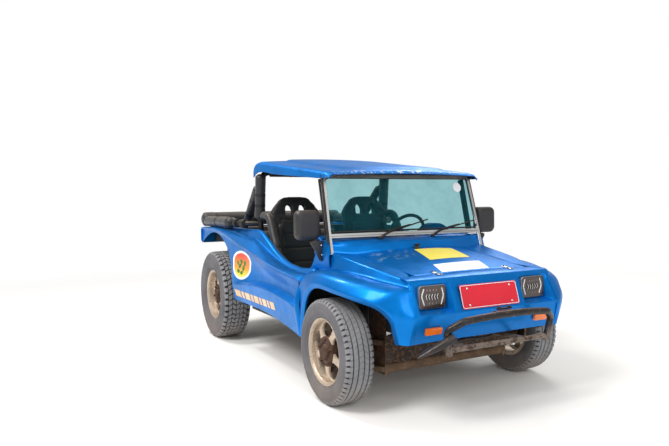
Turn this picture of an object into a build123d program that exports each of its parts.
from build123d import *
import os
from math import cos, degrees, hypot, pi, radians, sin, sqrt

os.makedirs("parts", exist_ok=True)

# Millimetres. X is the vehicle's left, -Y its front, Z up from the ground.
# Tables give places along the vehicle behind the front axle; at() turns them into Y.
FRONT_AXLE = -960
WHEELBASE = 2055
REAR_AXLE = FRONT_AXLE + WHEELBASE
WALL = 6                      # moulded body wall


def at(behind_front_axle):
    """Y of a place given behind the front axle."""
    return FRONT_AXLE + behind_front_axle


# Wheels: radius, width and middle plane of each tyre; rim lip and barrel radii
FRONT_TYRE = dict(radius=298, width=180, middle=683, lip=191, barrel=178)
REAR_TYRE = dict(radius=367, width=232, middle=674, lip=206, barrel=192)
KINGPIN = 584                 # distance of the steering axis from the middle
TYRE_SIDES = 72               # flats round a tyre, so that its bottom one lies on the ground
SPOKES = 5
FLANGE = 8                    # thickness of a rim's barrel and flanges
DRUM_RADIUS = 118

# Hood lid, cowl and screen
LID_FRONT = -382
COWL_BOW_RADIUS = 2160        # plan radius of the joint between lid and cowl
COWL_BOW_FRONT = 135          # front of that bow, on the centre line
SCREEN_RAKE = 15
SCREEN_FOOT = (240, 931)      # behind the axle and up, of the lower rail
SCREEN_HEIGHT = 398
SCREEN_HALF_LOW = 603
SCREEN_HALF_TOP = 588
RAIL = 26                     # width of the screen frame's bars

# Underbody
PAN_TOP = 306
BEAM_BEHIND = -120
BEAM_HEIGHTS = (190, 340)
BEAM_RADIUS = 30

# Padding
HOOP_RADIUS = 22
BRACE_RADIUS = 19
HOOP_PAD_RADIUS = 34
BRACE_PAD_RADIUS = 30
RAIL_PAD_RADIUS = 48
RAIL_HEIGHT = 985


def band(line, wall):
    """Closed outline of a wall: the outer line, and back along its right side."""
    turns = []
    for (u0, v0), (u1, v1) in zip(line, line[1:]):
        length = hypot(u1 - u0, v1 - v0)
        turns.append(((v1 - v0) / length, -(u1 - u0) / length))
    inner = []
    for index, (u, v) in enumerate(line):
        nu0, nv0 = turns[max(index - 1, 0)]
        nu1, nv1 = turns[min(index, len(turns) - 1)]
        reach = wall / max(1 + nu0 * nu1 + nv0 * nv1, 0.6)
        inner.append((u + (nu0 + nu1) * reach, v + (nv0 + nv1) * reach))
    return line + inner[::-1]


def skin_along_y(sections, wall, ruled=True):
    """Lofted wall from cross-section lines, each with its place behind the axle."""
    with BuildPart() as piece:
        for place, line in sections:
            with BuildSketch(Plane.XZ.offset(-at(place))):
                with BuildLine():
                    Polyline(*band(line, wall), close=True)
                make_face()
        loft(ruled=ruled)
    return piece.part


def skin_along_x(sections, wall, ruled=True):
    """Lofted wall from side-view lines, each with its distance from the middle."""
    with BuildPart() as piece:
        for distance, line in sections:
            with BuildSketch(Plane.YZ.offset(distance)):
                with BuildLine():
                    Polyline(*[(at(y), z) for y, z in band(line, wall)], close=True)
                make_face()
        loft(ruled=ruled)
    return piece.part


def side_slab(points, x_from, x_to):
    """Prism of a side-view outline between two distances from the middle."""
    with BuildPart() as piece:
        with BuildSketch(Plane.YZ.offset(x_from)):
            with BuildLine():
                Polyline(*[(at(y), z) for y, z in points], close=True)
            make_face()
        extrude(amount=x_to - x_from)
    return piece.part


def block(x, y, z):
    """Box from its (low, high) spans; y is behind the front axle."""
    size = [high - low for low, high in (x, y, z)]
    middle = [(low + high) / 2 for low, high in (x, y, z)]
    with BuildPart(Plane(origin=(middle[0], at(middle[1]), middle[2]))) as piece:
        Box(*size)
    return piece.part


def rod(start, end, radius, bore=0):
    """Straight round bar or tube between two points; y is behind the front axle."""
    a = Vector(start[0], at(start[1]), start[2])
    b = Vector(end[0], at(end[1]), end[2])
    with BuildPart() as piece:
        with BuildSketch(Plane(origin=a, z_dir=b - a)):
            Circle(radius)
            if bore:
                Circle(bore, mode=Mode.SUBTRACT)
        extrude(amount=(b - a).length)
    return piece.part


def bent_tube(points, bends, radius):
    """Round tube along straight runs joined by arcs; y is behind the front axle."""
    places = [(x, at(y), z) for x, y, z in points]
    with BuildPart() as piece:
        with BuildLine() as path:
            FilletPolyline(*places, radius=bends)
        with BuildSketch(Plane(origin=path.line @ 0, z_dir=path.line % 0)):
            Circle(radius)
        sweep()
    return piece.part


def both_sides(shape):
    """The left piece with its mirror image on the right."""
    return [shape, mirror(shape, about=Plane.YZ)]


def save(piece, name):
    """Label a finished piece and write its file."""
    piece.part.label = name
    export_step(piece.part, f"parts/{name}.step")


# Front wing: wheel side of the nose, from the valley beside the bonnet to its skirt
# place, then x and z of: valley, inner crown, outer crown, edge, skirt foot
WING = (
    (-535, (484, 556), (492, 553), (503, 547), (510, 520), (509, 425)),
    (-500, (486, 648), (510, 644), (543, 626), (560, 588), (556, 415)),
    (-462, (492, 686), (540, 690), (594, 672), (620, 622), (608, 410)),
    (-384, (513, 692), (580, 706), (645, 694), (677, 645), (660, 405)),
    (-240, (549, 712), (630, 728), (706, 712), (742, 665), (722, 400)),
    (-60, (578, 727), (655, 745), (738, 735), (779, 690), (762, 390)),
    (150, (604, 730), (672, 741), (748, 729), (784, 684), (766, 350)),
    (290, (604, 722), (672, 724), (738, 708), (766, 660), (748, 318)),
    (372, (604, 716), (660, 708), (712, 692), (746, 662), (738, 318)),
)
# Bonnet side: place, then x and z of: joint with the lid, shoulder, valley
BONNET_SIDE = (
    (-382, (405, 741), (494, 736), (513, 692)),
    (-200, (412, 766), (533, 770), (556, 716)),
    (0, (420, 793), (561, 804), (588, 729)),
    (196, (428, 820), (583, 834), (604, 728)),
)
NOSE_SIDE = (
    (-462, (485, 711), (488, 707), (493, 686)),
    (-382, (481, 736), (494, 735), (513, 692)),
)
# Nose: distance from the middle, then behind the axle and up of: lower return,
# chin, crease, brow, brow top, joint with the lid
NOSE = (
    (0, (-452, 400), (-487, 402), (-537, 551), (-474, 712), (-440, 737), (-384, 744)),
    (380, (-452, 404), (-490, 406), (-536, 551), (-474, 711), (-440, 735), (-384, 741)),
    (480, (-452, 418), (-500, 420), (-534, 550), (-470, 703), (-437, 728), (-384, 737)),
)
# Front arch in side view, from its front foot over the top to its rear foot
WING_ARCH = ((-466, 414), (-473, 535), (-436, 600), (-350, 632), (-130, 675), (60, 681),
             (240, 585), (335, 430), (350, 312))
# Side: place, cockpit edge z, crease x and z, waist x, ledge z, sill z
SIDE = (
    (372, 722, 744, 670, 714, 453, 330),
    (600, 709, 752, 697, 704, 464, 415),
    (800, 733, 757, 723, 700, 476, 426),
    (1000, 798, 760, 760, 700, 489, 422),
    (1280, 926, 760, 808, 704, 504, 417),
    (1560, 932, 758, 852, 712, 520, 413),
)
REAR_QUARTER = (
    (1560, 932, 758, 852, 712, 520, 413),
    (1830, 933, 757, 895, 722, 540, 410),
    (2125, 934, 752, 932, 728, 560, 410),
    (2530, 932, 738, 928, 724, 580, 410),
)
TOE_BEHIND = 372              # back of the front wings and of the walls before the cockpit
LEDGE = 757
SILL = 735
TUB_SIDE = 604                # outer face of the cockpit's inner walls
REAR_ARCH = ((1606, 420), (1628, 655), (1737, 781), (1900, 862), (2100, 897),
             (2330, 866), (2532, 786))


def arch_cutter(arch, x_from, x_to, floor):
    """Everything below an arch line of three-point arcs, between two distances."""
    points = [(at(y), z) for y, z in arch]
    foot = (points[0][0], floor)
    heel = (points[-1][0], floor)
    with BuildPart() as piece:
        with BuildSketch(Plane.YZ.offset(x_from)):
            with BuildLine():
                Line(foot, points[0])
                for first, middle, last in zip(points[0::2], points[1::2], points[2::2]):
                    ThreePointArc(first, middle, last)
                Line(points[-1], heel)
                Line(heel, foot)
            make_face()
        extrude(amount=x_to - x_from)
    return piece.part


def side_line(edge, crease_x, crease_z, waist, ledge, sill):
    """Cross-section of the body side, from the cockpit's edge down to the sill."""
    return [(TUB_SIDE, edge - 25), (608, edge), (636, edge), (crease_x, crease_z),
            (crease_x - 22, crease_z - 38), (waist, (crease_z + ledge) / 2),
            (waist + 6, ledge + 14), (LEDGE, ledge), (LEDGE - 4, ledge - 30),
            (SILL, min(sill, ledge - 38))]


def bow(distance):
    """Front of the cowl, behind the axle, at a distance from the middle."""
    return COWL_BOW_FRONT + COWL_BOW_RADIUS - sqrt(COWL_BOW_RADIUS**2 - distance**2)


# Nose with its lamp pockets: spans across and up of a pocket, and of the wall round it
LAMP_BACK = -462
POCKET = ((250, 470), (553, 708))
POCKET_WALL = ((242, 478), (545, 716))
with BuildPart() as nose:
    add(skin_along_x([(-d, list(line)) for d, *line in NOSE[:0:-1]]
                     + [(d, list(line)) for d, *line in NOSE], WALL))
    pocket_backs = both_sides(block(POCKET_WALL[0], (-470, LAMP_BACK + 10), POCKET_WALL[1]))
    add(pocket_backs)
    pockets = both_sides(block(POCKET[0], (-560, LAMP_BACK), POCKET[1]))
    add(pockets, mode=Mode.SUBTRACT)
save(nose, "nose")

# Front wings with the sides of the bonnet
with BuildPart() as front_wings:
    add(skin_along_y([(place, list(line)) for place, *line in WING], WALL))
    add(arch_cutter(WING_ARCH, 545, 850, 250), mode=Mode.SUBTRACT)
    add(skin_along_y([(place, list(line)) for place, *line in BONNET_SIDE], WALL))
    add(skin_along_y([(place, list(line)) for place, *line in NOSE_SIDE], WALL - 1))
    mirror(about=Plane.YZ)
save(front_wings, "front_wings")

# Body sides between the wheels
with BuildPart() as side_panels:
    add(skin_along_y([(place, side_line(*line)) for place, *line in SIDE], WALL))
    mirror(about=Plane.YZ)
save(side_panels, "side_panels")

# Rear quarters over the wheels, and the tail panel between them
with BuildPart() as rear_quarters:
    add(skin_along_y([(place, side_line(*line)) for place, *line in REAR_QUARTER], WALL))
    add(arch_cutter(REAR_ARCH, 560, 850, 250), mode=Mode.SUBTRACT)
    tail_cut = ((2525, 700), (2545, 700), (2545, 785), (2525, 785))
    add(side_slab(tail_cut, 560, 850), mode=Mode.SUBTRACT)
    mirror(about=Plane.YZ)
save(rear_quarters, "rear_quarters")

TAIL_BEHIND = 2530
TAIL_SIZE = (1476, 146)
TAIL_HEIGHT = 859
with BuildPart() as tail_panel:
    with BuildSketch(Plane.XZ.offset(-at(TAIL_BEHIND))):
        with Locations((0, TAIL_HEIGHT)):
            RectangleRounded(*TAIL_SIZE, 30)
    extrude(amount=-WALL)
save(tail_panel, "tail_panel")

# Luggage tray in the nose with the inner sides of the front wheel arches
TRAY_HALF = 430
TRAY_FLOOR = 404
TRAY_WALL = 5
with BuildPart() as front_tray:
    add(block((-TRAY_HALF, TRAY_HALF), (-450, 170), (TRAY_FLOOR, TRAY_FLOOR + WALL)))
    for side in (1, -1):
        inner = [(place, [(TRAY_HALF, TRAY_FLOOR), (TRAY_HALF, 676),
                          (min(line[0][0] - 4, 586), line[0][1] - 15)])
                 for place, *line in WING[2:]]
        rows = [(min(max(place, -450), TOE_BEHIND - WALL), line) for place, line in inner]
        wheel_wall = skin_along_y(rows, TRAY_WALL)
        add(wheel_wall if side > 0 else mirror(wheel_wall, about=Plane.YZ))
save(front_tray, "front_tray")

# Walls across the front of the cockpit: toe board and the backs of the wheel arches
with BuildPart() as toe_board:
    toe_line = band([(TOE_BEHIND, 300), (290, 300), (176, 412), (190, 800)], WALL)
    add(side_slab(toe_line, -TRAY_HALF, TRAY_HALF))
    for x_from, x_to in ((436, 604), (-604, -436)):
        add(block((x_from, x_to), (TOE_BEHIND - WALL, TOE_BEHIND), (300, 690)))
    for side in (1, -1):
        with BuildSketch(Plane.XZ.offset(-at(TOE_BEHIND))):
            with BuildLine():
                Polyline((side * 604, 312), (side * 729, 324), (side * 737, 655), (side * 706, 682),
                         (side * 658, 697), (side * 604, 704), close=True)
            make_face()
        extrude(amount=WALL)
save(toe_board, "toe_board")

# Cowl below the screen, with its sides down to the cockpit's edge
# distance from the middle, height of the foot: follows the lid and the bonnet's shoulder
COWL_FOOT = ((0, 850), (300, 839), (425, 826), (576, 838))
COWL_RISE = 44
COWL_TOP = 911
with BuildPart() as cowl:
    stations = []
    for distance, foot in [(-d, z) for d, z in COWL_FOOT[:0:-1]] + list(COWL_FOOT):
        base = bow(distance)
        line = [(base, foot), (base + 22, foot + COWL_RISE), (222, 903), (342, COWL_TOP)]
        stations.append((distance, line))
    add(skin_along_x(stations, WALL))
    for x_from, x_to in ((576, 604), (-604, -576)):
        add(block((x_from, x_to), (250, 342), (COWL_TOP - WALL, COWL_TOP)))
    side = ((250, 700), (250, COWL_TOP), (352, COWL_TOP), (462, 728), (462, 702), (372, 702), (372, 700))
    for x_from, x_to in ((590, 604), (-604, -590)):
        add(side_slab(side, x_from, x_to))
save(cowl, "cowl")

# Cockpit sides and the rear seat's tub
COCKPIT_EDGE = ((1560, 925), (1284, 922), (982, 787), (803, 728), (536, 702), (380, 698))
with BuildPart() as cockpit_sides:
    for x_from, x_to in ((598, 604), (-604, -598)):
        add(side_slab(((380, 306), (1560, 306)) + COCKPIT_EDGE, x_from, x_to))
save(cockpit_sides, "cockpit_sides")

TUB_HALF = 490                # inner walls between the rear wheels
with BuildPart() as rear_tub:
    bulkhead = band([(2206, 919), (2086, 500), (1566, 500), (1566, 306)], WALL)
    add(side_slab(bulkhead, -TUB_HALF, TUB_HALF))
    for side in (1, -1):
        inner_wall = ((1566, 306), (1572, 306), (1572, 440), (2400, 440), (2524, 620), (2524, 806),
                      (1566, 806))
        low, high = sorted((side * (TUB_HALF - WALL), side * TUB_HALF))
        add(side_slab(inner_wall, low, high))
        low, high = sorted((side * (TUB_HALF - WALL), side * 598))
        add(block((low, high), (1560, 1566), (306, 806)))
        add(block((low, high), (1560, 2524), (800, 806)))
        low, high = sorted((side * 598, side * TUB_SIDE))
        add(block((low, high), (1560, 2524), (800, 925)))
    add(block((-598, 598), (2200, 2524), (919, 925)))
save(rear_tub, "rear_tub")

# Floor pan with its centre tunnel and the neck that carries the front beam
TUNNEL = ((-95, PAN_TOP), (-72, 400), (-45, 432), (45, 432), (72, 400), (95, PAN_TOP))
TUNNEL_START = 304
PAN_END = 1560
NECK_HALF = 85
with BuildPart() as floor_pan:
    add(block((-TUB_SIDE, TUB_SIDE), (TOE_BEHIND, PAN_END), (PAN_TOP - WALL, PAN_TOP)))
    with BuildSketch(Plane.XZ.offset(-at(TUNNEL_START))):
        Polygon(*TUNNEL, align=None)
    extrude(amount=TUNNEL_START - PAN_END)
    add(block((-NECK_HALF, NECK_HALF), (-88, 176), (268, 400)))
    add(block((-NECK_HALF, NECK_HALF), (176, 420), (268, PAN_TOP - WALL)))
save(floor_pan, "floor_pan")

# Front beam: two tubes, end plates with the upper shock mounts, steering box
with BuildPart() as front_beam:
    for height in BEAM_HEIGHTS:
        add(rod((-436, BEAM_BEHIND, height), (436, BEAM_BEHIND, height), BEAM_RADIUS))
    for side in (1, -1):
        low, high = sorted((side * 436, side * 446))
        add(block((low, high), (-152, 8), (155, 552)))
        low, high = sorted((side * 446, side * 494))
        add(block((low, high), (-40, 8), (546, 552)))
        low, high = sorted((side * 60, side * 75))
        add(block((low, high), (-130, -88), (170, 398)))
save(front_beam, "front_beam")

with BuildPart() as front_arms:
    for height in BEAM_HEIGHTS:
        with BuildSketch(Plane.XY.offset(height - 14)):
            with BuildLine():
                Polyline((446, at(-148)), (462, at(-148)), (552, at(-20)), (552, at(14)),
                         (528, at(14)), (446, at(-92)), close=True)
            make_face()
        extrude(amount=28)
    add(block((450, 500), (-85, 8), (176, 204)))
    add(block((528, 552), (-14, 14), (172, 396)))
    for low in (172, 384):
        add(block((552, 606), (-14, 14), (low, low + 12)))
    mirror(about=Plane.YZ)
save(front_arms, "front_arms")

with BuildPart() as front_shocks:
    add(rod((471, -16, 206), (471, -16, 380), 19))
    add(rod((471, -16, 380), (471, -16, 545.5), 12))
    mirror(about=Plane.YZ)
save(front_shocks, "front_shocks")

# Rear suspension, gearbox, engine and exhaust
TORSION_TUBE = (1690, 345)    # behind the axle and up
with BuildPart() as rear_torsion:
    add(rod((-486, *TORSION_TUBE), (486, *TORSION_TUBE), 36))
    for side in (1, -1):
        low, high = sorted((side * 486, side * 498))
        add(side_slab(((1650, 320), (1650, 372), (2000, 400), (2100, 400), (2100, 334), (2000, 334)),
                      low, high))
save(rear_torsion, "rear_torsion")

with BuildPart() as gearbox:
    add(block((-105, 105), (1740, 2120), (255, 470)))
    add(block((-60, 60), (1727, 1740), (300, 420)))
save(gearbox, "gearbox")

AXLE_HEIGHT = REAR_TYRE["radius"]
AXLE_TUBE_RADIUS = 34
AXLE_BORE = 18
with BuildPart() as rear_axle:
    for side in (1, -1):
        inner, plate, bearing, outer = [(side * x, WHEELBASE, AXLE_HEIGHT) for x in (105, 486, 498, 596)]
        add(rod(inner, plate, AXLE_TUBE_RADIUS))
        add(rod(bearing, outer, AXLE_TUBE_RADIUS, AXLE_BORE))
        add(rod((side * 590, WHEELBASE, AXLE_HEIGHT), outer, 104, AXLE_BORE))
        low, high = sorted((side * 500, side * 541))
        add(block((low, high), (2080, 2146), (350, 376)))
save(rear_axle, "rear_axle")

with BuildPart() as rear_shocks:
    add(rod((521, 2122, 382), (521, 2150, 610), 22))
    add(rod((521, 2150, 610), (521, 2172, 797), 13))
    mirror(about=Plane.YZ)
save(rear_shocks, "rear_shocks")

# Engine: crankcase, finned cylinders and heads, fan shroud, generator, pulleys and air cleaner
CRANKCASE = ((-150, 300), (-112, 235), (112, 235), (150, 300), (150, 424), (96, 470), (-96, 470),
             (-150, 424))
CYLINDERS = (2180, 2330)      # fronts of the two cylinders on a side
FINS = 6
FIN_PITCH = 30
FIN_WIDTH = 16
FAN = (640, 150)              # height and radius of the fan housing
SHROUD = (2250, 2400)
with BuildPart() as engine:
    with BuildSketch(Plane.XZ.offset(-at(2120))):
        Polygon(*CRANKCASE, align=None)
    extrude(amount=2120 - 2486)
    for side in (1, -1):
        for bank in CYLINDERS:
            for fin in range(FINS):
                start = 156 + fin * FIN_PITCH
                low, high = sorted((side * start, side * (start + FIN_WIDTH)))
                add(block((low, high), (bank, bank + 120), (320, 440)))
        low, high = sorted((side * 150, side * 340))
        add(block((low, high), (2195, 2435), (345, 415)))
    with BuildSketch(Plane.XZ.offset(-at(SHROUD[0]))):
        with Locations((0, 552)):
            RectangleRounded(600, 172, 60)
        with Locations((0, FAN[0])):
            Circle(FAN[1])
    extrude(amount=SHROUD[0] - SHROUD[1])
    add(rod((0, SHROUD[1], FAN[0]), (0, 2462, FAN[0]), 52))
    add(rod((0, 2462, FAN[0]), (0, 2484, FAN[0]), 74))
    add(rod((0, 2486, 378), (0, 2506, 378), 72))
    add(rod((0, 2440, FAN[0]), (0, 2440, 800), 28))
    add(rod((0, 2440, 796), (0, 2440, 852), 88))
save(engine, "engine")

EXHAUST_HEIGHT = 262
SILENCER_RADIUS = 50
with BuildPart() as exhaust:
    add(rod((-300, 2546, EXHAUST_HEIGHT), (300, 2546, EXHAUST_HEIGHT), SILENCER_RADIUS))
    for side in (1, -1):
        add(rod((side * 300, 2476, EXHAUST_HEIGHT), (side * 160, 2476, EXHAUST_HEIGHT), 34))
        add(rod((side * 250, 2476, EXHAUST_HEIGHT), (side * 250, 2546, EXHAUST_HEIGHT), 22))
save(exhaust, "exhaust")

# Front bar and its struts back to the beam: corners of one half, from its foot to the middle
BAR_PATH = ((342, -590, 350), (366, -606, 480), (290, -652, 530), (90, -671, 545))
BAR_BENDS = [40, 60, 150]
BAR_RADIUS = 19
LAMP_TAB = (120, 50, 6)       # bracket for a lamp on top of the bar
TAB_BOLTS = (-40, 40)
TAB_BOLT_RADIUS = 4.3
with BuildPart() as front_bar:
    path = [(-x, y, z) for x, y, z in BAR_PATH] + list(BAR_PATH[::-1])
    add(bent_tube(path, BAR_BENDS + BAR_BENDS[::-1], BAR_RADIUS))
    add(rod((-344, -590, 375), (344, -590, 375), 15))
    for x in (-200, 200):
        add(rod((x, -590, 375), (x, -150, 345), 12))
    with BuildSketch(Plane.XY.offset(548)):
        with Locations((0, at(-631))):
            Rectangle(*LAMP_TAB[:2])
        with Locations(*[(x, at(-628)) for x in TAB_BOLTS]):
            Circle(TAB_BOLT_RADIUS, mode=Mode.SUBTRACT)
    extrude(amount=LAMP_TAB[2])
save(front_bar, "front_bar")

# Lid over the nose: place, half width, edge z, crown z
LID_WALL = 5
LID_GAP = 6
LID = (
    (LID_FRONT, 399, 740, 746),
    (-120, 409, 776, 800),
    (60, 416, 801, 834),
    (215, 422, 822, 858),
)
with BuildPart() as hood_lid:
    for place, half, edge, crown in LID:
        with BuildSketch(Plane.XZ.offset(-at(place))):
            with BuildLine():
                ThreePointArc((-half, edge), (0, crown), (half, edge))
                Line((half, edge), (half, edge - LID_WALL))
                ThreePointArc((half, edge - LID_WALL), (0, crown - LID_WALL), (-half, edge - LID_WALL))
                Line((-half, edge - LID_WALL), (-half, edge))
            make_face()
    loft()
    with Locations((0, at(COWL_BOW_FRONT + COWL_BOW_RADIUS), 800)):
        Cylinder(COWL_BOW_RADIUS + LID_GAP, 400, mode=Mode.SUBTRACT)
save(hood_lid, "hood_lid")

# Screen: frame, glass and the roof's front posts
screen_plane = Plane(origin=(0, at(SCREEN_FOOT[0]), SCREEN_FOOT[1]), x_dir=(1, 0, 0),
                     z_dir=(0, -cos(radians(SCREEN_RAKE)), sin(radians(SCREEN_RAKE))))
FOOT_DROP = 112
with BuildPart() as screen_frame:
    with BuildSketch(screen_plane):
        with BuildLine():
            Polyline((-SCREEN_HALF_LOW, -FOOT_DROP), (SCREEN_HALF_LOW, -FOOT_DROP),
                     (SCREEN_HALF_TOP, SCREEN_HEIGHT), (-SCREEN_HALF_TOP, SCREEN_HEIGHT), close=True)
        outer = make_face()
        fillet(outer.vertices().group_by(Axis.Y)[-1], 60)
        with BuildLine():
            Polyline((-SCREEN_HALF_LOW + RAIL, RAIL / 2), (SCREEN_HALF_LOW - RAIL, RAIL / 2),
                     (SCREEN_HALF_TOP - RAIL, SCREEN_HEIGHT - RAIL),
                     (RAIL - SCREEN_HALF_TOP, SCREEN_HEIGHT - RAIL), close=True)
        make_face(mode=Mode.SUBTRACT)
        with Locations((0, -FOOT_DROP / 2 - RAIL / 4)):
            Rectangle(2 * (SCREEN_HALF_LOW - RAIL), FOOT_DROP - RAIL / 2, mode=Mode.SUBTRACT)
    extrude(amount=10, both=True)
save(screen_frame, "screen_frame")

with BuildPart() as screen_glass:
    with BuildSketch(screen_plane):
        with BuildLine():
            Polyline((-SCREEN_HALF_LOW + RAIL, RAIL / 2), (SCREEN_HALF_LOW - RAIL, RAIL / 2),
                     (SCREEN_HALF_TOP - RAIL, SCREEN_HEIGHT - RAIL),
                     (RAIL - SCREEN_HALF_TOP, SCREEN_HEIGHT - RAIL), close=True)
        make_face()
    extrude(amount=2.5, both=True)
save(screen_glass, "screen_glass")

with BuildPart() as roof_posts:
    add(rod((560, 301.5, 917), (560, 392, 1285), 20))
    mirror(about=Plane.YZ)
save(roof_posts, "roof_posts")

# Roof: place, half width, flange foot z, edge z, crown z
ROOF = ((246, 588, 1290, 1308, 1326), (275, 590, 1292, 1318, 1340), (790, 604, 1336, 1388, 1413),
        (1332, 612, 1392, 1455, 1480), (1420, 612, 1362, 1448, 1474), (1470, 608, 1348, 1412, 1437))
ROOF_WALL = 6
with BuildPart() as roof:
    for place, half, foot, edge, crown in ROOF:
        with BuildSketch(Plane.XZ.offset(-at(place))):
            with BuildLine():
                Line((-half, foot), (-half, edge))
                ThreePointArc((-half, edge), (0, crown), (half, edge))
                Line((half, edge), (half, foot))
                inner = half - ROOF_WALL
                Line((half, foot), (inner, foot))
                Line((inner, foot), (inner, edge - ROOF_WALL))
                ThreePointArc((inner, edge - ROOF_WALL), (0, crown - ROOF_WALL), (-inner, edge - ROOF_WALL))
                Line((-inner, edge - ROOF_WALL), (-inner, foot))
                Line((-inner, foot), (-half, foot))
            make_face()
    loft(ruled=True)
save(roof, "roof")

# Roll hoop with its braces, and the pads on them
HOOP_HALF = 570
HOOP_BEHIND = 1425
HOOP_TOP = 1384
HOOP_BEND = 85
BRACE_TOP = (HOOP_HALF, HOOP_BEHIND, 1320)
BRACE_FOOT = (548, 1840, 940)
with BuildPart() as roll_hoop:
    corners = ((1, PAN_TOP), (1, HOOP_TOP), (-1, HOOP_TOP), (-1, PAN_TOP))
    add(bent_tube([(side * HOOP_HALF, HOOP_BEHIND, z) for side, z in corners], HOOP_BEND, HOOP_RADIUS))
    for side in (1, -1):
        top, foot = [(side * x, y, z) for x, y, z in (BRACE_TOP, BRACE_FOOT)]
        add(bent_tube([top, foot, (foot[0], foot[1], 806)], 60, BRACE_RADIUS))
save(roll_hoop, "roll_hoop")

POST_PADS = ((1096, 1176), (1186, 1262))     # heights of the sleeves on each post
BRACE_PADS = ((0.30, 0.56), (0.60, 0.84))    # shares of each brace under a sleeve


def along_brace(share):
    """Point on the brace between its top and its foot."""
    return tuple(a + (b - a) * share for a, b in zip(BRACE_TOP, BRACE_FOOT))


with BuildPart() as hoop_pads:
    for low, high in POST_PADS:
        bottom, top = [(HOOP_HALF, HOOP_BEHIND, z) for z in (low, high)]
        add(rod(bottom, top, HOOP_PAD_RADIUS, HOOP_RADIUS))
    for start, end in BRACE_PADS:
        add(rod(along_brace(start), along_brace(end), BRACE_PAD_RADIUS, BRACE_RADIUS))
    mirror(about=Plane.YZ)
    ends = [(x, HOOP_BEHIND, HOOP_TOP) for x in (-470, 470)]
    add(rod(*ends, HOOP_PAD_RADIUS, HOOP_RADIUS))
save(hoop_pads, "hoop_pads")

# Padded rail along each side of the tail, its bare tube up to the hoop, and the padded
# bar that goes from the hoop down inside the cockpit
RAIL_SIDE = 672
RAIL_PAD_END = 1780
RAIL_TUBE_RADIUS = 19
TAIL_ROLL_RADIUS = 65
TAIL_ROLL_BEHIND = 2545
INNER_BAR_SIDE = 562
INNER_BAR_HEIGHT = 1045
INNER_BAR_RADIUS = 29
with BuildPart() as grab_rail:
    add(bent_tube([(RAIL_SIDE, RAIL_PAD_END, RAIL_HEIGHT), (RAIL_SIDE, TAIL_ROLL_BEHIND, RAIL_HEIGHT),
                   (530, TAIL_ROLL_BEHIND, RAIL_HEIGHT)], 90, RAIL_PAD_RADIUS))
    add(bent_tube([(RAIL_SIDE, RAIL_PAD_END, RAIL_HEIGHT), (RAIL_SIDE, 1500, RAIL_HEIGHT),
                   (HOOP_HALF, HOOP_BEHIND, RAIL_HEIGHT)], 50, RAIL_TUBE_RADIUS))
    add(bent_tube([(INNER_BAR_SIDE, HOOP_BEHIND, INNER_BAR_HEIGHT),
                   (INNER_BAR_SIDE, 1262, INNER_BAR_HEIGHT), (INNER_BAR_SIDE, 1040, 640),
                   (INNER_BAR_SIDE, 1040, PAN_TOP)], [70, 90], INNER_BAR_RADIUS))
    post = [(HOOP_HALF, HOOP_BEHIND, z) for z in (900, 1150)]
    add(rod(*post, HOOP_RADIUS), mode=Mode.SUBTRACT)
    mirror(about=Plane.YZ)
save(grab_rail, "grab_rail")

with BuildPart() as tail_roll:
    add(rod((-530, TAIL_ROLL_BEHIND, 1000), (530, TAIL_ROLL_BEHIND, 1000), TAIL_ROLL_RADIUS))
save(tail_roll, "tail_roll")

# Bucket seats, with two slots for a harness in each headrest
SEAT_MIDDLE = 316
SEAT_HALF = 212
SEAT_SPAN = (800, 1190)       # front and back of the cushion
SEAT_UNDER = 380              # underside of the cushion
CUSHION_TOP = 486
CUSHION_EDGE = 500
BOLSTER_TOP = 522
BOLSTER_WIDTH = 62
SEAT_BACK_FOOT = 1180
SEAT_BACK_LEAN = 10
SEAT_BACK_DEPTH = 80
BOLSTER = 34                  # half width and depth of the bolsters on the back
SLOT_AT = (56, 770)           # half spacing of the slots, and their middle up the back
SLOT_SIZE = (46, 84)
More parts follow.
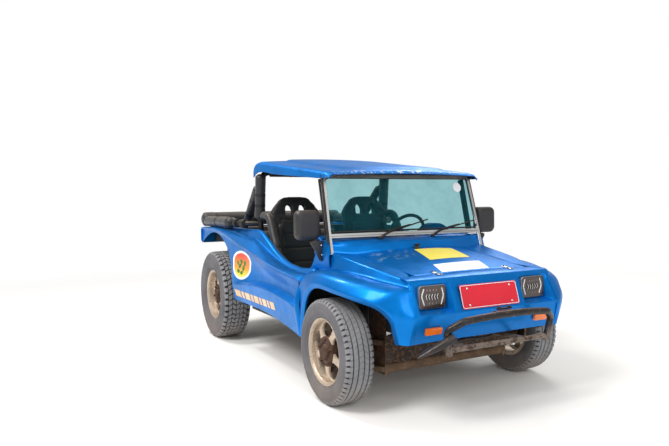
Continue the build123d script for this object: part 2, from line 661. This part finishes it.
# Left half of the back, from its foot up: half width and height at each arc's points
SEAT_BACK = ((212, 0), (208, 330), (212, 640), (172, 735), (132, 820), (112, 842), (80, 846))
with BuildPart() as seats:
    low, high = SEAT_MIDDLE - SEAT_HALF, SEAT_MIDDLE + SEAT_HALF
    inner = (low + BOLSTER_WIDTH, high - BOLSTER_WIDTH)
    with BuildSketch(Plane.XZ.offset(-at(SEAT_SPAN[0]))):
        with BuildLine():
            Polyline((low, CUSHION_EDGE), (low, SEAT_UNDER), (high, SEAT_UNDER), (high, CUSHION_EDGE))
            outer_edges = [(x, CUSHION_EDGE) for x in (low, high)]
            ridges = [(low + BOLSTER_WIDTH / 2, BOLSTER_TOP), (high - BOLSTER_WIDTH / 2, BOLSTER_TOP)]
            inner_edges = [(x, CUSHION_TOP) for x in inner]
            ThreePointArc(outer_edges[1], ridges[1], inner_edges[1])
            ThreePointArc(inner_edges[1], (SEAT_MIDDLE, CUSHION_TOP - 8), inner_edges[0])
            ThreePointArc(inner_edges[0], ridges[0], outer_edges[0])
        make_face()
    extrude(amount=SEAT_SPAN[0] - SEAT_SPAN[1])
    add(block((SEAT_MIDDLE - 190, SEAT_MIDDLE + 190), (840, 1150), (PAN_TOP, SEAT_UNDER)))
    back_plane = Plane(origin=(SEAT_MIDDLE, at(SEAT_BACK_FOOT), SEAT_UNDER), x_dir=(1, 0, 0),
                       z_dir=(0, cos(radians(SEAT_BACK_LEAN)), -sin(radians(SEAT_BACK_LEAN))))
    with BuildSketch(back_plane):
        with BuildLine():
            Line((-SEAT_BACK[0][0], 0), SEAT_BACK[0])
            for first, middle, last in zip(SEAT_BACK[0::2], SEAT_BACK[1::2], SEAT_BACK[2::2]):
                for side in (1, -1):
                    ThreePointArc(*[(side * half, -up) for half, up in (first, middle, last)])
            Line(*[(side * SEAT_BACK[-1][0], -SEAT_BACK[-1][1]) for side in (1, -1)])
        make_face()
        with Locations((-SLOT_AT[0], -SLOT_AT[1]), (SLOT_AT[0], -SLOT_AT[1])):
            RectangleRounded(*SLOT_SIZE, 20, mode=Mode.SUBTRACT)
    extrude(amount=SEAT_BACK_DEPTH)
    with BuildSketch(back_plane):
        with Locations((BOLSTER - SEAT_HALF, -360), (SEAT_HALF - BOLSTER, -360)):
            RectangleRounded(2 * BOLSTER, 500, 30)
    extrude(amount=-BOLSTER)
    mirror(about=Plane.YZ)
save(seats, "seats")

with BuildPart() as rear_bench:
    add(block((-480, 480), (1590, 2030), (507, 620)))
    add(side_slab(((2032, 622), (2104, 622), (2186, 912), (2106, 922)), -480, 480))
save(rear_bench, "rear_bench")

# Dash, steering column and small controls
GAUGE_HOOD = (330, 124, 58)   # middle, half width and height over the dash
with BuildPart() as dash:
    add(side_slab(((345, 912), (400, 928), (455, 905), (448, 812), (436, 812), (440, 890), (398, 912),
                   (345, 900)), -586, 586))
    middle, half, rise = GAUGE_HOOD
    with BuildSketch(Plane.XZ.offset(-at(372))):
        with BuildLine():
            ThreePointArc((middle - half, 908), (middle, 928 + rise), (middle + half, 908))
            Line((middle + half, 908), (middle - half, 908))
        make_face()
    extrude(amount=372 - 454)
save(dash, "dash")

WHEEL_HUB = (330, 751, 894)
COLUMN_RAKE = 25


def along_column(distance):
    """Point on the column's axis, forward and down from the middle of the rim."""
    x, y, z = WHEEL_HUB
    return (x, y - distance * cos(radians(COLUMN_RAKE)), z - distance * sin(radians(COLUMN_RAKE)))


with BuildPart() as steering_column:
    add(rod(along_column(88), along_column(600), 20, 12))
    add(block((310, 350), (420, 440), (752, 812)))
save(steering_column, "steering_column")

rim_plane = Plane(origin=(WHEEL_HUB[0], at(WHEEL_HUB[1]), WHEEL_HUB[2]), x_dir=(1, 0, 0),
                  z_dir=(0, cos(radians(COLUMN_RAKE)), sin(radians(COLUMN_RAKE))))
RIM_RADIUS = 158
with BuildPart() as steering_wheel:
    with BuildSketch(Plane(origin=rim_plane.origin, x_dir=rim_plane.x_dir, z_dir=rim_plane.y_dir)):
        with Locations((RIM_RADIUS, 0)):
            RegularPolygon(13, 8)
    revolve(axis=Axis(rim_plane.origin, rim_plane.z_dir))
    with BuildSketch(rim_plane.offset(-34)):
        Circle(34)
    extrude(amount=30)
    with BuildSketch(rim_plane.offset(-8)):
        for turn in (0, 180, 270):
            with Locations(Rotation(0, 0, turn) * Pos(90, 0)):
                Rectangle(130, 26)
    extrude(amount=6)
    add(rod(along_column(34), along_column(140), 9))
save(steering_wheel, "steering_wheel")

with BuildPart() as controls:
    add(rod((0, 802, 440), (0, 850, 600), 7))
    add(block((-20, 20), (790, 815), (432, 440)))
    add(rod((0, 850, 600), (0, 856, 620), 18))
    add(block((-16, 16), (940, 980), (432, 446)))
    add(rod((0, 960, 440), (0, 900, 520), 10))
    for x in (230, 310, 390):
        add(block((x - 8, x + 8), (322, 340), (306, 312)))
        add(rod((x, 331, 310), (x, 306, 425), 6))
        add(block((x - 24, x + 24), (300, 308), (420, 480)))
save(controls, "controls")

# Lamps, plate, mirrors and wipers
with BuildPart() as headlamps:
    with BuildSketch(Plane.XZ.offset(-at(LAMP_BACK))):
        with Locations((358, 637)):
            RectangleRounded(176, 122, 20)
    extrude(amount=18)
    mirror(about=Plane.YZ)
save(headlamps, "headlamps")

# The indicators lie on the face between chin and crease
chin, crease = NOSE[1][2], NOSE[1][3]
face_run = Vector(0, crease[0] - chin[0], crease[1] - chin[1]).normalized()
lamp_foot = (chin[0] + (468 - chin[1]) * face_run.Y / face_run.Z, 468)
indicator_plane = Plane(origin=(383, at(lamp_foot[0]), lamp_foot[1]), x_dir=(1, 0, 0),
                        z_dir=(0, -face_run.Z, face_run.Y))
with BuildPart() as indicators:
    with BuildSketch(indicator_plane.offset(2)):
        RectangleRounded(105, 36, 6)
    extrude(amount=12)
    mirror(about=Plane.YZ)
save(indicators, "indicators")

TAIL_LAMPS = (540, 640)       # distances of the round lamps from the middle
TAIL_LAMP_RADIUS = 42
TAIL_LAMP_DEPTH = 24
with BuildPart() as tail_lamps:
    with BuildSketch(Plane.XZ.offset(-at(TAIL_BEHIND + WALL))):
        with Locations(*[(x, TAIL_HEIGHT - 4) for x in TAIL_LAMPS]):
            Circle(TAIL_LAMP_RADIUS)
    extrude(amount=-TAIL_LAMP_DEPTH)
    mirror(about=Plane.YZ)
save(tail_lamps, "tail_lamps")

PLATE_LEAN = degrees(0.291)
PLATE_SIZE = (400, 130)
PLATE_THICKNESS = 2
plate_plane = Plane(origin=(0, at(-517), 625), x_dir=(1, 0, 0),
                    z_dir=(0, -cos(radians(PLATE_LEAN)), sin(radians(PLATE_LEAN))))
with BuildPart() as front_plate:
    with BuildSketch(plate_plane):
        RectangleRounded(*PLATE_SIZE, 6)
    extrude(amount=PLATE_THICKNESS)
    with BuildSketch(plate_plane):
        for x in (-130, 130):
            with Locations((x, 0)):
                Circle(9)
    extrude(amount=-7.6)
save(front_plate, "front_plate")

MIRROR_AT = (697, 1000)
MIRROR_SIZE = (158, 182)
MIRROR_DEPTH = 62
with BuildPart() as mirrors:
    with BuildSketch(Plane.XZ.offset(-at(272))):
        with Locations(MIRROR_AT):
            RectangleRounded(*MIRROR_SIZE, 34)
    extrude(amount=-MIRROR_DEPTH)
    add(rod((632, 300, 940), (620, 274, 890), 8))
    add(block((604, 622), (256, 292), (840, 900)))
    mirror(about=Plane.YZ)
save(mirrors, "mirrors")

# Wipers lie along the lower rail: pivot's distance from the middle, blade length
WIPERS = ((-160, 400), (235, 310))
with BuildPart() as wipers:
    for x, length in WIPERS:
        with BuildSketch(screen_plane.offset(3)):
            with Locations(Pos(x + length / 2 - 6, 38) * Rotation(0, 0, 4)):
                Rectangle(length, 9)
        extrude(amount=10)
        with BuildSketch(screen_plane.offset(10)):
            with Locations((x, 22)):
                Circle(13)
        extrude(amount=12)
save(wipers, "wipers")


def tyre(sizes, axle, bead):
    """Left tyre: a flat-sided ring with leaning flanks, cut shoulders and a level tread."""
    radius, half = sizes["radius"], sizes["width"] / 2
    # distance from the middle plane and radius to the flats, from the rim out to the tread
    flank = ((bead, sizes["barrel"]), (bead, sizes["lip"] + 4), (half, radius - 54),
             (half - 4, radius - 22), (half - 26, radius))
    outline = list(flank) + [(-u, v) for u, v in flank[::-1]]

    def corner(side, line):
        distance, flat = line
        turn = 2 * pi * (side + 0.5) / TYRE_SIDES
        reach = flat / cos(pi / TYRE_SIDES)
        return (sizes["middle"] + distance, axle + reach * sin(turn), radius + reach * cos(turn))

    faces = []
    for side in range(TYRE_SIDES):
        for first, second in zip(outline, outline[1:] + outline[:1]):
            corners = (corner(side, first), corner(side, second),
                       corner(side + 1, second), corner(side + 1, first))
            faces.append(Face(Wire.make_polygon(corners)))
    with BuildPart() as piece:
        add(Solid(Shell(faces)))
    return piece.part


def rim(sizes, axle, bead):
    """Left rim: barrel with a flange each side, and a dished centre with five windows."""
    hub = Plane(origin=(sizes["middle"], axle, sizes["radius"]), x_dir=(1, 0, 0), z_dir=(0, -1, 0))
    barrel, lip = sizes["barrel"], sizes["lip"]
    inside = barrel - FLANGE
    outline = ((-bead, barrel), (-bead, lip), (-bead - FLANGE, lip), (-bead - FLANGE, inside),
               (bead + FLANGE, inside), (bead + FLANGE, lip), (bead, lip), (bead, barrel))
    # the centre's outline: distance from the middle plane, and radius
    dish = ((30, 0), (30, DRUM_RADIUS), (16, inside + 2), (34, inside + 2), (50, DRUM_RADIUS - 12),
            (50, 68), (58, 60), (58, 0))
    window = ((72, -14), (inside - 22, -50), (inside - 12, -38), (inside - 12, 38), (inside - 22, 50),
              (72, 14))
    with BuildPart() as piece:
        with BuildSketch(hub):
            Polygon(*outline, align=None)
        revolve(axis=Axis(hub.origin, (1, 0, 0)))
        with BuildSketch(hub):
            Polygon(*dish, align=None)
        revolve(axis=Axis(hub.origin, (1, 0, 0)))
        with BuildSketch(Plane(origin=hub.origin, x_dir=(0, 1, 0), z_dir=(1, 0, 0))):
            with PolarLocations(0, SPOKES, 90 + 180 / SPOKES):
                Polygon(*window, align=None)
        extrude(amount=70, mode=Mode.SUBTRACT)
    return piece.part


def drum(sizes, axle, depth, bore):
    """Left brake drum with its hub and cap, behind the spokes."""
    hub = Plane(origin=(sizes["middle"], axle, sizes["radius"]), x_dir=(1, 0, 0), z_dir=(0, -1, 0))
    with BuildPart() as piece:
        with BuildSketch(hub):
            with BuildLine():
                Polyline((-depth, DRUM_RADIUS), (30, DRUM_RADIUS), (30, bore), (-depth + 6, bore),
                         (-depth + 6, bore + 20), (14, bore + 20), (14, DRUM_RADIUS - 8),
                         (-depth, DRUM_RADIUS - 8), close=True)
            make_face()
        revolve(axis=Axis(hub.origin, (1, 0, 0)))
        add(rod((sizes["middle"] + 58, axle - FRONT_AXLE, sizes["radius"]),
                (sizes["middle"] + 74, axle - FRONT_AXLE, sizes["radius"]), 34))
    return piece.part


STUB_RADIUS = 15

# Four wheels: name, sizes, axle, bead half width, drum depth, bore
WHEELS = (
    ("front", FRONT_TYRE, FRONT_AXLE, 70, 52, 17),
    ("rear", REAR_TYRE, REAR_AXLE, 88, 62, 17),
)
for end, sizes, axle, bead, depth, bore in WHEELS:
    shapes = (("tyre", tyre(sizes, axle, bead)), ("rim", rim(sizes, axle, bead)),
              ("drum", drum(sizes, axle, depth, bore)))
    for kind, shape in shapes:
        for hand, copy in zip(("left", "right"), both_sides(shape)):
            with BuildPart() as wheel_piece:
                add(copy)
                if kind == "drum" and end == "rear":
                    sign = 1 if hand == "left" else -1
                    ends = [(sign * x, WHEELBASE, AXLE_HEIGHT) for x in (540, 704)]
                    add(rod(*ends, STUB_RADIUS))
            save(wheel_piece, f"{kind}_{end}_{hand}")

# Steered knuckles: king pin barrel, stub axle, brake back plate and steering arm
STUB_HEIGHT = FRONT_TYRE["radius"]
for hand, sign in (("left", 1), ("right", -1)):
    with BuildPart() as knuckle:
        add(rod((sign * KINGPIN, 0, 184.5), (sign * KINGPIN, 0, 383.5), 13))
        add(rod((sign * KINGPIN, 0, STUB_HEIGHT), (sign * 688, 0, STUB_HEIGHT), STUB_RADIUS))
        add(rod((sign * 616, 0, STUB_HEIGHT), (sign * 622, 0, STUB_HEIGHT), 100))
        low, high = sorted((sign * (KINGPIN - 12), sign * (KINGPIN + 6)))
        add(block((low, high), (0, 128), (215, 229)))
    save(knuckle, f"knuckle_{hand}")

with BuildPart() as tie_rod:
    add(rod((-560, 116, 246), (560, 116, 246), 8))
save(tie_rod, "tie_rod")
